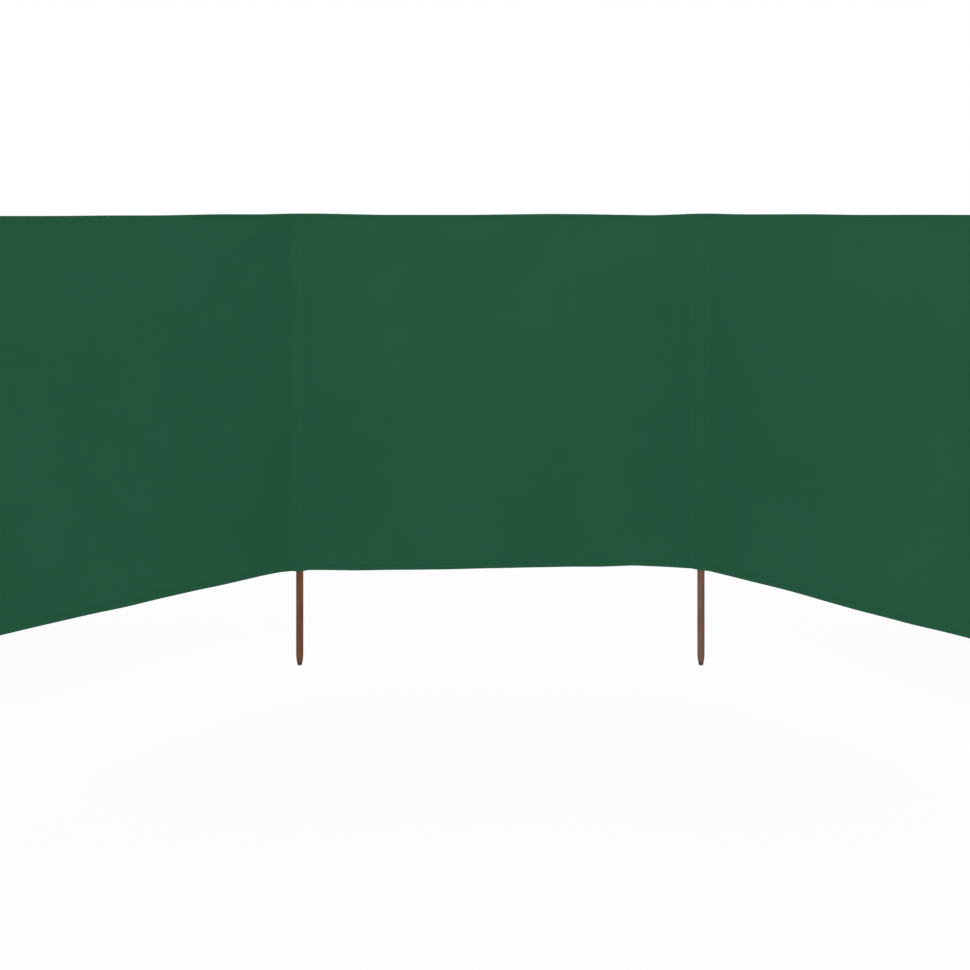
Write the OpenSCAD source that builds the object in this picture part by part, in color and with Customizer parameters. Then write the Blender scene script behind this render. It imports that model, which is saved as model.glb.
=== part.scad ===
// Fabric windbreak: a run of cloth bays stretched between round wooden posts.
// Each post stands in a closed-top cloth pocket and ends below in a blunt point.
// Millimetres, +Z up. The origin is on the blunt end of the post left of the middle bay,
// +X runs along the middle bay and the front of the cloth faces -Y.

/* [Layout] */
// Distance between the axes of neighbouring posts
bay_pitch = 1333; // [1000:1:1600]
// Turn of the bay left of the middle one, towards the front, in degrees
left_turn = 40; // [10:1:60]
// Turn of the bay right of the middle one, towards the front, in degrees
right_turn = 45; // [10:1:60]

/* [Posts] */
// Length of a post from its blunt end to its top
post_len = 1498; // [1200:1:1800]
// Diameter of a post
post_d = 24; // [18:0.5:34]
// Length of the pointed end
tip_len = 40; // [25:1:80]
// Diameter of the blunt end of the point
tip_d = 14; // [8:0.5:17]
// Bevel round the blunt end
tip_bevel = 1.5; // [0.5:0.1:3]
// Bevel round the top of a post
top_bevel = 2; // [0.5:0.1:5]
// Length of post left bare below the cloth
bare_len = 312; // [200:1:450]

/* [Cloth] */
// Thickness of one layer of cloth
cloth_t = 1; // [0.5:0.1:2]
// Bow of a bay towards the back, at its middle
belly = 20; // [4:1:45]
// Dip of the top edge between two posts
top_dip = 4; // [1:0.5:20]
// Rise of the lower edge between two posts
foot_rise = 10; // [1:0.5:40]
// Width of the turned hem along the top and lower edges
hem_w = 20; // [10:1:40]
// Thickness of the turned hem behind the bay
hem_t = 2; // [1:0.1:4]

/* [Pockets] */
// Room between a post and its pocket, all round
pocket_clear = 0.3; // [0.1:0.05:0.6]
// Distance from a post's axis to the seam that closes its pocket
pocket_reach = 30; // [26:0.5:45]
// Width of the pocket's edge that is sewn to the back of a bay
seam_w = 16; // [8:0.5:30]

/* [Hidden] */
$fn = 96;

// Angle of each bay in plan, from its left post to its right post
bay_headings = [0, left_turn, 0, -right_turn, 0];
bay_count = len(bay_headings);
post_count = bay_count + 1;
// The post that stands on the origin
origin_post = 3;

cloth_colour = "#24553d";
hem_colour = "#22513a";
pocket_colour = "#275a41";
wood_colour = "#6b4833";

post_r = post_d / 2;
tip_r = tip_d / 2;
// Radius of the arc that swells the point from its blunt end to the full post
point_r = ((post_r - tip_r) ^ 2 + tip_len ^ 2) / (2 * (post_r - tip_r));

// A pocket's layers leave the post on tangents and are closed by the seam from the crease on.
sleeve_inner_r = post_r + pocket_clear;
sleeve_outer_r = sleeve_inner_r + cloth_t;
crease_reach = pocket_reach - 2 * cloth_t;
inner_angle = acos(sleeve_inner_r / crease_reach);
outer_angle = atan2(cloth_t, pocket_reach) + acos(sleeve_outer_r / norm([pocket_reach, cloth_t]));

cloth_top = post_len + pocket_clear + cloth_t;
// Run of every cut past the face that it opens
overrun = 10;

// Straight lengths that follow the curves of one bay, and the places where they meet
curve_steps = 16;
stations = [for (j = [0:curve_steps]) bay_pitch * j / curve_steps];

// Share of a bay's curve at a place along it: none at the posts and all of it in the middle
function curve_share(x) = 4 * (x / bay_pitch) * (1 - x / bay_pitch);

bow_line = [for (x = stations) belly * curve_share(x)];
lower_edge = [for (x = stations) bare_len + foot_rise * curve_share(x)];
upper_edge = [for (x = stations) cloth_top - top_dip * curve_share(x)];

function shifted(line, by) = [for (height = line) height + by];

// Angle from a bay's chord to the cloth that leaves its post
lead = atan2(bow_line[1], stations[1]);

// Plan place of a post, walked along the bays before it
function walked(k) =
    k == 1 ? [0, 0]
           : walked(k - 1) + bay_pitch * [cos(bay_headings[k - 2]), sin(bay_headings[k - 2])];
function post_at(k) = walked(k) - walked(origin_post);

// Directions in which the pocket on a post opens out into its bays
function pocket_leads(k) = concat(
    k > 1 ? [bay_headings[k - 2] + 180 - lead] : [],
    k < post_count ? [bay_headings[k - 1] + lead] : []
);

function numbered(name, count) = [for (k = [1:count]) str(name, "_", k)];

// Half section of a post: blunt swelling point, straight shank and bevelled top
module post_section() {
    intersection() {
        polygon([
            [0, 0],
            [tip_r - tip_bevel, 0],
            [post_r, post_r - tip_r + tip_bevel],
            [post_r, tip_len],
            [0, tip_len]
        ]);
        translate([post_r - point_r, tip_len]) circle(point_r, $fn = 256);
    }
    polygon([
        [0, tip_len],
        [post_r, tip_len],
        [post_r, post_len - top_bevel],
        [post_r - top_bevel, post_len],
        [0, post_len]
    ]);
}

module post(k) {
    color(wood_colour) translate(post_at(k)) rotate_extrude() post_section();
}

// Round outline on a post, drawn out along each lead on tangents that start at an angle round it
module drawn_out(k, r, angle, seam_points) {
    touch_x = r * cos(angle);
    touch_y = r * sin(angle);
    circle(r);
    for (direction = pocket_leads(k)) {
        rotate(direction) polygon(concat([[touch_x, touch_y]], seam_points, [[touch_x, -touch_y]]));
    }
}

module sleeve_outside(k) {
    drawn_out(k, sleeve_outer_r, outer_angle, [[pocket_reach, cloth_t], [pocket_reach, -cloth_t]]);
}

module sleeve_inside(k) {
    drawn_out(k, sleeve_inner_r, inner_angle, [[crease_reach, 0]]);
}

// Sleeve on a post, closed at its top and open below
module sleeve(k) {
    translate([0, 0, bare_len]) linear_extrude(cloth_top - bare_len) difference() {
        sleeve_outside(k);
        sleeve_inside(k);
    }
    translate([0, 0, cloth_top - cloth_t]) linear_extrude(cloth_t) sleeve_outside(k);
}

module in_bay(b) {
    translate(post_at(b)) rotate(bay_headings[b - 1]) children();
}

// Band between two lines that follow a bay's stations
module band(near_line, far_line) {
    polygon(concat(
        [for (j = [0:curve_steps]) [stations[j], near_line[j]]],
        [for (j = [curve_steps:-1:0]) [stations[j], far_line[j]]]
    ));
}

// Layer of cloth along a bay: a bowed strip between two ends and two depths, cut to its front outline
module bay_layer(from, to, front, back, low_line, high_line) {
    depth = belly + back - front + 2 * overrun;
    intersection() {
        linear_extrude(cloth_top + overrun) intersection() {
            band(shifted(bow_line, front), shifted(bow_line, back));
            translate([from, front - overrun]) square([to - from, depth]);
        }
        translate([0, belly + back + overrun, 0])
            rotate([90, 0, 0]) linear_extrude(depth) band(low_line, high_line);
    }
}

// Edge of a pocket, sewn flat to the back of a bay
module sewn_edge(from, to) {
    bay_layer(from, to, 0, cloth_t, lower_edge, upper_edge);
}

module pocket(k) {
    color(pocket_colour) {
        translate(post_at(k)) sleeve(k);
        if (k > 1) {
            in_bay(k - 1) sewn_edge(bay_pitch - pocket_reach - seam_w, bay_pitch - crease_reach);
        }
        if (k < post_count) in_bay(k) sewn_edge(crease_reach, pocket_reach + seam_w);
    }
}

// Front cloth of a bay, from the pocket on its left post to the one on its right post
module panel(b) {
    inset = pocket_reach + pocket_clear;
    color(cloth_colour) in_bay(b)
        bay_layer(inset, bay_pitch - inset, -cloth_t, 0, lower_edge, upper_edge);
}

// Turned hem behind a bay, between the sewn edges of its two pockets
module hem(b, low_line, high_line) {
    inset = pocket_reach + seam_w;
    color(hem_colour) in_bay(b) bay_layer(inset, bay_pitch - inset, 0, hem_t, low_line, high_line);
}

module top_hem(b) {
    hem(b, shifted(upper_edge, -hem_w), upper_edge);
}

module lower_hem(b) {
    hem(b, lower_edge, shifted(lower_edge, hem_w));
}

for (k = [1:post_count]) {
    post(k);
    pocket(k);
}
for (b = [1:bay_count]) {
    panel(b);
    top_hem(b);
    lower_hem(b);
}
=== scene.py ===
# %% [markdown]
# # A staked fabric windbreak
#
# The real screen is one long cloth. Its upper and lower edges are turned over twice and sewn into hems,
# and a strip of the same cloth is sewn behind it at every inner post, so that the post stands in a
# pocket. At the two end posts the cloth itself is led round the post and sewn to its own back.
#
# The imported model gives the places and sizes. Each piece below is built where that model says, in metres.

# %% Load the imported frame
import math

import bmesh
import bpy
import numpy as np
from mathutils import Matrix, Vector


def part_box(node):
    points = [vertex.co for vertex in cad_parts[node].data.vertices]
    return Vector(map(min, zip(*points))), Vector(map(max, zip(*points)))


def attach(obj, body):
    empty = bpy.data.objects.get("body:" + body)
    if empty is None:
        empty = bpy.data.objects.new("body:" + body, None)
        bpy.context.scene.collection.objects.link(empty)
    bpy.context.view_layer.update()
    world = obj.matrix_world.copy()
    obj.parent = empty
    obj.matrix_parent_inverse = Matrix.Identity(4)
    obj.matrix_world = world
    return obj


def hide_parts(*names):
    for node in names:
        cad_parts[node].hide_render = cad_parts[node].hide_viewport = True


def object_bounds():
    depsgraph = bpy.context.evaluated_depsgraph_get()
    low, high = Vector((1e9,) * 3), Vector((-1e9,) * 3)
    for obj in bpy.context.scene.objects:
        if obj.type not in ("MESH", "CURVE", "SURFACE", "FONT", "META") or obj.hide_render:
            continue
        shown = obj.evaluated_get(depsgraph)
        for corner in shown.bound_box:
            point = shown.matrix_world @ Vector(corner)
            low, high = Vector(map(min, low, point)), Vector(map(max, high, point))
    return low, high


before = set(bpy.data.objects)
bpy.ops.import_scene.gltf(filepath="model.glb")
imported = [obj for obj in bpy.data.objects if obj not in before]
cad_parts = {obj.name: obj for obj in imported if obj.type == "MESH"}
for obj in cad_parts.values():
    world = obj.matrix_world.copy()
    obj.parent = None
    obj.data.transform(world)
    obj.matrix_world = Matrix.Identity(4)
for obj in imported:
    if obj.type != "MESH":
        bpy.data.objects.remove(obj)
cad_low, cad_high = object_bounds()
print("frame:", len(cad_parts), "nodes, box", [round(x, 3) for x in cad_high - cad_low])

# %% [markdown]
# ## Measures taken from the frame
#
# The posts give the plan of the screen. The pockets give the heights of the cloth, and the middle bay
# gives its bow and the places of its seams. These sizes could be typed in again, but read from the frame
# they follow it when it changes. Everything else is a small size of sewn cloth, named where it is first
# used.

# %% Posts and bays in plan
MM = 0.001
POSTS = 6
BAYS = POSTS - 1
MIDDLE = 2

post_boxes = [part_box(f"post_{k + 1}") for k in range(POSTS)]
post_axes = np.array([[(low.x + high.x) / 2, (low.y + high.y) / 2] for low, high in post_boxes])
post_r = (post_boxes[0][1].x - post_boxes[0][0].x) / 2
post_top = post_boxes[0][1].z

chords = np.diff(post_axes, axis=0)
pitch = float(np.linalg.norm(chords, axis=1).mean())
along = chords / pitch
behind = np.stack([-along[:, 1], along[:, 0]], axis=1)
print(f"posts: {POSTS}, {pitch:.4f} apart, radius {post_r:.4f}, top at {post_top:.4f}")

# %% Heights, bow and seams of the cloth
pocket_low, pocket_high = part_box(f"pocket_{MIDDLE + 1}")
cloth_foot, cloth_top = pocket_low.z, pocket_high.z

middle_axis = post_axes[MIDDLE]
panel_low, panel_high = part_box(f"panel_{MIDDLE + 1}")
belly = panel_high.y - middle_axis[1]
seam_x = panel_low.x - middle_axis[0]
strip_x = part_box(f"top_hem_{MIDDLE + 1}")[0].x - middle_axis[0]
print(f"cloth: {cloth_foot:.4f} to {cloth_top:.4f}, bow {belly:.4f}, seams {seam_x:.4f} to {strip_x:.4f}")

# %% [markdown]
# ## The camera
#
# The screen was photographed from almost the height of its upper edge with a level camera, because its
# posts stay upright in the picture and its upper edges stay level while the lower edges run steeply. A
# camera that is tilted down would show the same part of the screen, but its posts would lean together. A
# level camera keeps its horizon in the middle of the picture, so a lens shift lowers the frame to where
# the photograph has it.

# %% Camera at the photograph's viewpoint
FRAME_PX = 970
FOCAL_PX = 1200
HORIZON_PX = 206
SENSOR_MM = 36
EYE = (0.6155, -3.987, 1.5243)

camera_data = bpy.data.cameras.new("photo_camera")
camera_data.sensor_width = SENSOR_MM
camera_data.lens = SENSOR_MM * FOCAL_PX / FRAME_PX
camera_data.shift_y = (HORIZON_PX - FRAME_PX / 2) / FRAME_PX
camera = bpy.data.objects.new("photo_camera", camera_data)
camera.location = EYE
camera.rotation_euler = (math.pi / 2, 0, 0)
bpy.context.scene.collection.objects.link(camera)
bpy.context.scene.camera = camera
print(f"camera: lens {camera_data.lens:.2f} mm, shift {camera_data.shift_y:.4f}")

# %% [markdown]
# ## The way of the cloth, seen from above
#
# Taut cloth runs straight until something turns it. From the seam of a pocket it leaves for the post on a
# tangent, follows the post round, and leaves on the next tangent. Between the posts it bows a little to
# the back. A free curve through a few points would cut into the wood or stand off it, so the line is
# worked out, with parabolas in the bays and tangents and arcs at the posts.
#
# Two measures run through the script: s is the length along a line of cloth, and q is the bay position,
# which is the number of a bay plus the share of the way from its left post to its right one.

# %% Places along a bay
def bay_place(bay, x, depth):
    """Plan places x along a bay from its left post, at a depth behind the bay's bowed line."""
    x = np.atleast_1d(np.asarray(x, float))
    u = x / pitch
    slope = 4 * belly / pitch * (1 - 2 * u)
    steep = np.sqrt(1 + slope ** 2)
    run = x - depth * slope / steep
    back = 4 * belly * u * (1 - u) + depth / steep
    return post_axes[bay] + run[:, None] * along[bay] + back[:, None] * behind[bay]


print("middle of the middle bay:", bay_place(MIDDLE, pitch / 2, 0)[0].round(4))

# %% Arc round a post
ARC_POINTS = 60


def round_post(k, start, end, radius, turn):
    """The arc on which taut cloth rounds post k from seam to seam, past its front (turn 1) or back (-1)."""
    spokes = np.stack([start, end]) - post_axes[k]
    angles = np.arctan2(spokes[:, 1], spokes[:, 0])
    lean = np.arccos(radius / np.linalg.norm(spokes, axis=1))
    sweep = (turn * (angles[1] - angles[0])) % (2 * math.pi)
    a = angles[0] + turn * np.linspace(lean[0], max(lean[0], sweep - lean[1]), ARC_POINTS)
    return post_axes[k] + radius * np.stack([np.cos(a), np.sin(a)], axis=1)


print("cloth meets a post", round(math.degrees(math.acos(post_r / seam_x))), "degrees round from its seam")

# %% [markdown]
# One row of stitches can't crease cloth sharply, so the line is softened over a few millimetres. A spline
# could round its corners, but a blur keeps the length and the ends almost as they are. The line is
# divided into even steps, and each of its coordinates is blurred. Before that the line is carried on past
# its ends, turned about them, which keeps them in place.

# %% Softened values
BLUR_REACHES = 4


def softened(values, reach):
    """Values along a line, blurred over a reach given in steps. The ends keep their place and direction."""
    width = int(BLUR_REACHES * reach)
    weights = np.exp(-0.5 * (np.arange(-width, width + 1) / reach) ** 2)
    weights /= weights.sum()
    before = 2 * values[0] - values[width:0:-1]
    after = 2 * values[-1] - values[-2:-width - 2:-1]
    return np.convolve(np.concatenate([before, values, after]), weights, mode="valid")


print("a sharp step of 1, softened over 2 steps:", softened(np.repeat([0.0, 1.0], 12), 2)[9:15].round(2))

# %% Line of cloth in plan
LINE_STEP = 0.5 * MM
SAME_PLACE = 1e-9


class PlanLine:
    """A line of cloth in plan: places, backward normals and bay positions by length along it."""

    def __init__(self, stretches, soften):
        places = np.concatenate([p for p, _ in stretches])
        bays = np.concatenate([np.broadcast_to(q, len(p)) for p, q in stretches])
        length = self.lengths(places)
        keep = np.append(True, np.diff(length) > SAME_PLACE)
        places, bays, length = places[keep], bays[keep], length[keep]
        even = np.linspace(0, length[-1], int(length[-1] / LINE_STEP) + 1)
        x = softened(np.interp(even, length, places[:, 0]), soften / LINE_STEP)
        y = softened(np.interp(even, length, places[:, 1]), soften / LINE_STEP)
        self.places = np.stack([x, y], axis=1)
        self.bays = np.interp(even, length, bays)
        self.s = self.lengths(self.places)
        self.total = self.s[-1]
        tangent = np.gradient(self.places, axis=0)
        tangent /= np.linalg.norm(tangent, axis=1)[:, None]
        self.normals = np.stack([-tangent[:, 1], tangent[:, 0]], axis=1)
        # Where the flat stretches end and begin again: every other stretch rounds a post
        stops = np.cumsum([0] + [len(p) for p, _ in stretches])
        ends = np.stack([stops[:-1], stops[1:] - 1], axis=1)[::2].ravel()[1:-1]
        self.marks = np.interp(length[np.cumsum(keep)[ends] - 1], even, self.s)

    @staticmethod
    def lengths(places):
        return np.append(0, np.cumsum(np.linalg.norm(np.diff(places, axis=0), axis=1)))

    def at(self, s):
        """Place, backward normal and bay position at lengths along the line."""
        place = np.stack([np.interp(s, self.s, self.places[:, i]) for i in (0, 1)], axis=1)
        normal = np.stack([np.interp(s, self.s, self.normals[:, i]) for i in (0, 1)], axis=1)
        normal /= np.linalg.norm(normal, axis=1)[:, None]
        return place, normal, np.interp(s, self.s, self.bays)


print(f"lines of cloth are drawn in steps of {LINE_STEP / MM} mm")

# %% [markdown]
# The cloth is one line: it starts sewn behind the first bay, rounds the first post, passes the front of
# every inner post, rounds the last post and ends sewn behind the last bay. It could be built bay by bay,
# but the real cloth has no joint at a post. The hem lies between cloth and post, so the line keeps the
# hem's thickness clear of the wood.

# %% The cloth's own line
CLOTH_T = 0.6 * MM
HEM_BACK = 1.5 * MM
POST_CLEAR = 0.2 * MM
SOFTEN = 3 * MM
# The middle of the front layer lies this far in front of the bowed line that it shares with the hems
CLOTH_DEPTH = -0.5 * MM
LOOP_GAP = 0.1 * MM
LOOP_DEPTH = CLOTH_DEPTH + CLOTH_T + LOOP_GAP
SEWN_POINTS = 12
BAY_POINTS = 200
# Softening draws an arc in by about half the square of its reach over the radius
front_r = post_r + POST_CLEAR + HEM_BACK + CLOTH_T / 2
front_r += SOFTEN ** 2 / (2 * front_r)


def bay_stretch(bay, start, end, depth, points):
    """A stretch of line along one bay, with its bay position."""
    x = np.linspace(start, end, points)
    return bay_place(bay, x, depth), bay + x / pitch


def cloth_stretches():
    """Stretches of the front cloth, from behind the first bay to behind the last one."""
    last = BAYS - 1
    made = [bay_stretch(0, strip_x, seam_x, LOOP_DEPTH, SEWN_POINTS)]
    for bay in range(BAYS):
        run = bay_stretch(bay, seam_x, pitch - seam_x, CLOTH_DEPTH, BAY_POINTS)
        made.append((round_post(bay, made[-1][0][-1], run[0][0], front_r, 1), float(bay)))
        made.append(run)
    tail = bay_stretch(last, pitch - seam_x, pitch - strip_x, LOOP_DEPTH, SEWN_POINTS)
    made.append((round_post(POSTS - 1, made[-1][0][-1], tail[0][0], front_r, 1), float(BAYS)))
    return made + [tail]


cloth_line = PlanLine(cloth_stretches(), SOFTEN)
print(f"cloth line: {cloth_line.total:.3f} m long, {len(cloth_line.s)} steps")

# %% [markdown]
# ## The edges of the cloth
#
# No edge of a stretched cloth is straight. The pockets are pulled down on their posts, so the lower edge
# is lowest there and lifts between them, and the upper edge dips a little on its way from post to post. A
# plain sag would look drawn with a ruler, so each bay has a few points listed. The middle three bays
# follow the photograph, and the outer two are finished in the same manner.

# %% Edge lines
# For each bay: share of its length, and height in millimetres above the foot of the pockets
LOWER_EDGE = [
    [(0.0, 0), (0.06, 6), (0.35, 8), (0.7, 6), (0.94, 7), (1.0, 0)],
    [(0.0, 0), (0.06, 6), (0.3, 3.5), (0.45, 4), (0.55, 3), (0.64, 6), (0.78, 5.5), (0.9, 9.5),
     (0.945, 9), (1.0, 2)],
    [(0.0, 2), (0.03, 2.5), (0.14, -1), (0.3, -1.8), (0.5, 3.5), (0.74, 9.5), (0.83, 15),
     (0.93, 10.5), (1.0, 6)],
    [(0.0, 6), (0.1, 5), (0.3, 1), (0.4, -3.5), (0.54, -5), (0.66, -2), (0.8, 2), (0.94, 4), (1.0, 0)],
    [(0.0, 0), (0.06, 6), (0.4, 8), (0.8, 6), (0.94, 6), (1.0, 0)],
]
# The same for the upper edge, above the top of the pockets
UPPER_EDGE = [
    [(0.0, 0), (0.03, 0), (0.3, -3), (0.6, -2), (0.85, -4), (0.97, 0), (1.0, 0)],
    [(0.0, 0), (0.03, 0), (0.3, -3.5), (0.4, -4), (0.52, -3.2), (0.63, -4), (0.78, -1.1), (0.9, -2.2),
     (0.97, 0), (1.0, 0)],
    [(0.0, 0), (0.05, 0), (0.2, -4.4), (0.42, -4.7), (0.62, -1.3), (0.7, -2.1), (0.88, -5.9),
     (0.98, -1), (1.0, 0)],
    [(0.0, 0), (0.03, 0), (0.12, -2.1), (0.3, -0.4), (0.42, -1.9), (0.56, -0.2), (0.7, 0), (0.85, -2),
     (0.97, 0), (1.0, 0)],
    [(0.0, 0), (0.03, 0), (0.35, -3.5), (0.7, -2), (0.97, 0), (1.0, 0)],
]
EDGE_STEP = 1 / 400
LOWER_SOFTEN = 12 * MM
UPPER_SOFTEN = 20 * MM


class EdgeLine:
    """Height of an edge by bay position, softened between hand-set points."""

    def __init__(self, table, level, soften):
        shares = [bay + u for bay, points in enumerate(table) for u, _ in points]
        heights = [h * MM for points in table for _, h in points]
        self.q = np.arange(0, BAYS + EDGE_STEP / 2, EDGE_STEP)
        self.z = level + softened(np.interp(self.q, shares, heights), soften / pitch / EDGE_STEP)

    def at(self, q):
        return np.interp(q, self.q, self.z)


lower_edge = EdgeLine(LOWER_EDGE, cloth_foot, LOWER_SOFTEN)
upper_edge = EdgeLine(UPPER_EDGE, cloth_top, UPPER_SOFTEN)
print(f"lower edge: {lower_edge.z.min():.4f} to {lower_edge.z.max():.4f}")
print(f"upper edge: {upper_edge.z.min():.4f} to {upper_edge.z.max():.4f}")

# %% [markdown]
# ## How the cloth hangs
#
# The screen in the photograph is pulled almost flat. What is left are broad upright swells between the
# posts and a few shallow folds that fan out from the corners, where the pull of the cloth gathers. They
# are a few millimetres deep over many centimetres, so that raking light finds them and the front view
# stays calm. A simulation was weighed for this, but a cloth that is held along two sides and pulled flat
# settles to the bow itself, so the small swells are given here as waves.

# %% Broad swells
SWELL_DEPTH = 2 * MM
SWELL_WIDTHS = (0.46, 0.29, 0.17)
SWELL_SHARES = (1.0, 0.5, 0.22)
STILL_X = 55 * MM
RISE_X = 220 * MM
# Turns that keep one bay's swells from repeating those of the next, by bay and by width
BAY_PHASE, WIDTH_PHASE = 2.1, 9
BAY_LEAN, WIDTH_LEAN = 1.7, 31
MOST_LEAN = 0.9
BAY_DRIFT = 0.4
# Part of the swell that stays everywhere, and the part that comes and goes with the height
STEADY, VARYING = 0.55, 0.45


def eased(x):
    """0 below 0, 1 above 1, and a smooth step between."""
    x = np.clip(x, 0, 1)
    return x * x * (3 - 2 * x)


def broad_swell(bay, x, nearest, z):
    """Depth of the upright swells at x along a bay, with the distance to its nearest post."""
    free = eased((nearest - STILL_X) / RISE_X)
    height = (z - cloth_foot) / (cloth_top - cloth_foot)
    swell = np.zeros_like(x * z)
    for width, share in zip(SWELL_WIDTHS, SWELL_SHARES):
        phase = BAY_PHASE * bay + WIDTH_PHASE * width
        lean = MOST_LEAN * np.sin(BAY_LEAN * bay + WIDTH_LEAN * width)
        swell += share * np.sin(2 * math.pi * x / width + phase + lean * (height - 0.5) * 2)
    swell *= SWELL_DEPTH * free * (STEADY + VARYING * np.sin(math.pi * height + BAY_DRIFT * bay))
    return swell


print(f"swells: {SWELL_DEPTH / MM} mm deep and {SWELL_WIDTHS[0]} to {SWELL_WIDTHS[-1]} m wide")

# %% Folds from the corners
FOLD_DEPTH = 1.3 * MM
FOLD_REACH = 0.16
FOLD_COUNT = 8
FOLD_PHASE = 1.3
CORNERS = ((cloth_top, 1.0), (cloth_foot, 0.6))
HEM_W = 20 * MM
NO_WIDTH = 1e-6


def corner_folds(bay, nearest, z, corner_z, strength):
    """Depth of the shallow folds that fan out from the corners at one height."""
    drop = np.abs(corner_z - z)
    reach = np.hypot(nearest - seam_x, drop)
    fan = np.arctan2(drop, np.maximum(nearest - seam_x, NO_WIDTH))
    fade = eased((nearest - seam_x) / STILL_X) * np.exp(-((reach - FOLD_REACH) / FOLD_REACH) ** 2)
    fade *= eased((drop - HEM_W) / STILL_X)
    return strength * FOLD_DEPTH * fade * np.sin(FOLD_COUNT * fan + FOLD_PHASE * bay)


def cloth_swell(q, z):
    """Depth by which the cloth stands behind its plain bow at a bay position and height."""
    bay = np.clip(np.floor(q), 0, BAYS - 1)
    x = (q - bay) * pitch
    nearest = np.minimum(x, pitch - x)
    swell = broad_swell(bay, x, nearest, z)
    for corner_z, strength in CORNERS:
        swell += corner_folds(bay, nearest, z, corner_z, strength)
    return swell


seen_q = np.linspace(MIDDLE, MIDDLE + 1, 200)[None, :]
seen_z = np.linspace(cloth_foot, cloth_top, 80)[:, None]
print(f"middle bay: up to {np.abs(cloth_swell(seen_q, seen_z)).max() / MM:.2f} mm off its plain bow")

# %% [markdown]
# ## The cloth
#
# A hem is the same cloth turned over twice: the raw edge goes inside, and a row of stitches holds it. A
# strip laid on the back would look alike from afar, but its edge would show no fold. So the section of
# the sheet starts at the hidden raw edge of the lower hem, folds out and down, turns round the lower
# edge, climbs the whole front and ends in the same folds at the top.

# %% Section of a hem
HEM_MIDDLE = HEM_BACK / 2
RAW_INSET = 5 * MM
ROW_INSETS = (8.5 * MM, 12.75 * MM, 17 * MM)
UPPER_STITCHES = (ROW_INSETS[0], ROW_INSETS[2])
LOWER_STITCHES = (ROW_INSETS[2],)
FRONT_INSETS = ROW_INSETS + (20.5 * MM, 34 * MM)
INNER_TURN_ROWS = 4
EDGE_TURN_ROWS = 6
FAR = 20 * MM


def hem_section(stitches):
    """Rows of a hem from raw edge to front: inset from the edge, layer depth, distance to a stitch row."""
    turn = (HEM_BACK - HEM_MIDDLE) / 2
    edge = HEM_BACK / 2
    hidden = [(RAW_INSET, HEM_MIDDLE), (HEM_W / 2, HEM_MIDDLE)]
    shown = [(HEM_W - turn + turn * math.sin(a), HEM_MIDDLE + turn - turn * math.cos(a))
             for a in np.linspace(0, math.pi, INNER_TURN_ROWS)]
    shown += [(inset, HEM_BACK) for inset in ROW_INSETS[::-1]]
    shown += [(edge - edge * math.sin(a), edge + edge * math.cos(a))
              for a in np.linspace(0, math.pi, EDGE_TURN_ROWS)]
    shown += [(inset, 0) for inset in FRONT_INSETS]
    near = [min(abs(inset - row) for row in stitches) for inset, _ in shown]
    return [(*row, FAR) for row in hidden] + [(*row, d) for row, d in zip(shown, near)]


print("hem:", len(hem_section(LOWER_STITCHES)), "rows from raw edge to front")

# %% Section of the whole sheet
FRONT_ROWS = 32


def sheet_section():
    """All rows of the sheet: share of the height, inset, layer depth, distance to a stitch row."""
    rows = [(0, inset, depth, near) for inset, depth, near in hem_section(LOWER_STITCHES)]
    margin = FRONT_INSETS[-1]
    shares = np.linspace(0, 1, FRONT_ROWS + 2)[1:-1]
    rows += [(share, margin * (1 - 2 * share), 0, FAR) for share in shares]
    rows += [(1, -inset, depth, near) for inset, depth, near in hem_section(UPPER_STITCHES)[::-1]]
    return np.array(rows).T[..., None]


row_share, row_inset, row_depth, row_near = sheet_section()
print("sheet:", len(row_share), "rows from raw edge to raw edge")

# %% [markdown]
# That section is carried along the cloth's line. Its columns are close together round the posts and wider
# in the bays, since even columns would either miss the curve of a post or waste faces on the flat bays.
# At both ends the cloth is sewn behind its own bay, where it has to climb out over the hems that it
# covers, and so it is lifted there.

# %% Columns along the cloth
BAY_STEP = 14 * MM
POST_STEP = 3 * MM
CLOSE_RUN = 12 * MM


def spaced(marks, steps):
    """Places from mark to mark, each stretch divided to about its own step."""
    parts = [np.linspace(a, b, max(2, int(round((b - a) / step)) + 1))[:-1]
             for a, b, step in zip(marks[:-1], marks[1:], steps)]
    return np.append(np.concatenate(parts), marks[-1])


def sheet_columns():
    """Lengths along the cloth at which the section is set down: close together wherever the cloth turns."""
    marks, steps = [0, cloth_line.marks[0]], [POST_STEP]
    for start, end in zip(cloth_line.marks[1::2], cloth_line.marks[2::2]):
        marks += [start, start + CLOSE_RUN, end - CLOSE_RUN, end]
        steps += [POST_STEP, POST_STEP, BAY_STEP, POST_STEP]
    marks += [cloth_line.marks[-1], cloth_line.total]
    return spaced(marks, steps + [POST_STEP, POST_STEP])


columns = sheet_columns()
print("sheet:", len(columns), "columns along the cloth")

# %% Places of the sheet
LOOP_LIFT = 3.1 * MM


def sewn_share(line, s):
    """1 on the sewn ends of a line of cloth, outside its first and last mark, easing to 0 within."""
    before = eased((line.marks[0] - s) / POST_STEP + 1)
    return np.maximum(before, eased((s - line.marks[-1]) / POST_STEP + 1))


def hem_nearness(z, low, high):
    """1 where a hem lies at this height, falling evenly to 0 clear of it."""
    start, end = FRONT_INSETS[-2:]
    return np.clip((end - np.minimum(z - low, high - z)) / (end - start), 0, 1)


def end_lift(s, z, low, high):
    """How far the sewn ends of the cloth lie out over the hems of the bays behind which they are sewn."""
    return sewn_share(cloth_line, s) * LOOP_LIFT * hem_nearness(z, low, high)


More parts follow.
